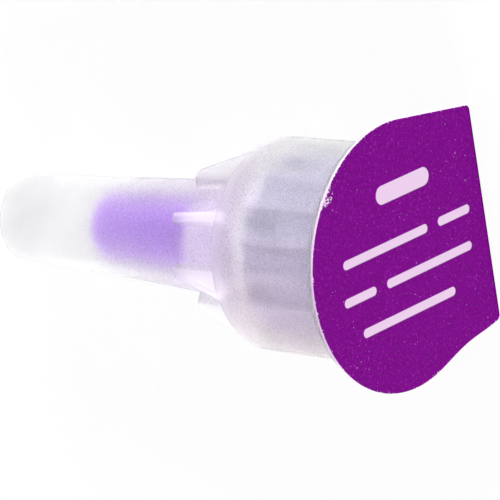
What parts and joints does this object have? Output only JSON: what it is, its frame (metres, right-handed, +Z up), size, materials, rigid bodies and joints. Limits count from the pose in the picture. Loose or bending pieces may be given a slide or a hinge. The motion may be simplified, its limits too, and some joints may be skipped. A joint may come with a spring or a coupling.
{
  "type": "pen needle",
  "caption": "Pen injector needle sealed in a frosted outer shield, with a purple peel-off seal over its open end and a purple inner shield over the needle.",
  "frame": {"origin": "middle of the footprint's bounding box, on the surface the part lies on", "axes": "+Z up; the nose points toward -X and a little down, the seal toward +X, and the seal's pull tab down"},
  "size_m": [0.0312, 0.016, 0.0157],
  "materials": {
    "frosted_shield": "translucent frosted polypropylene",
    "purple_seal": "purple print on a thin peel-off sheet",
    "purple_plastic": "satin",
    "hub_plastic": "satin",
    "needle_steel": "polished"
  },
  "bodies": {
    "root": {"outer_shield": "frosted_shield", "seal_label": "purple_seal", "inner_shield": "purple_plastic", "needle_hub": "hub_plastic", "cannula": "needle_steel"}
  },
  "joints": []
}
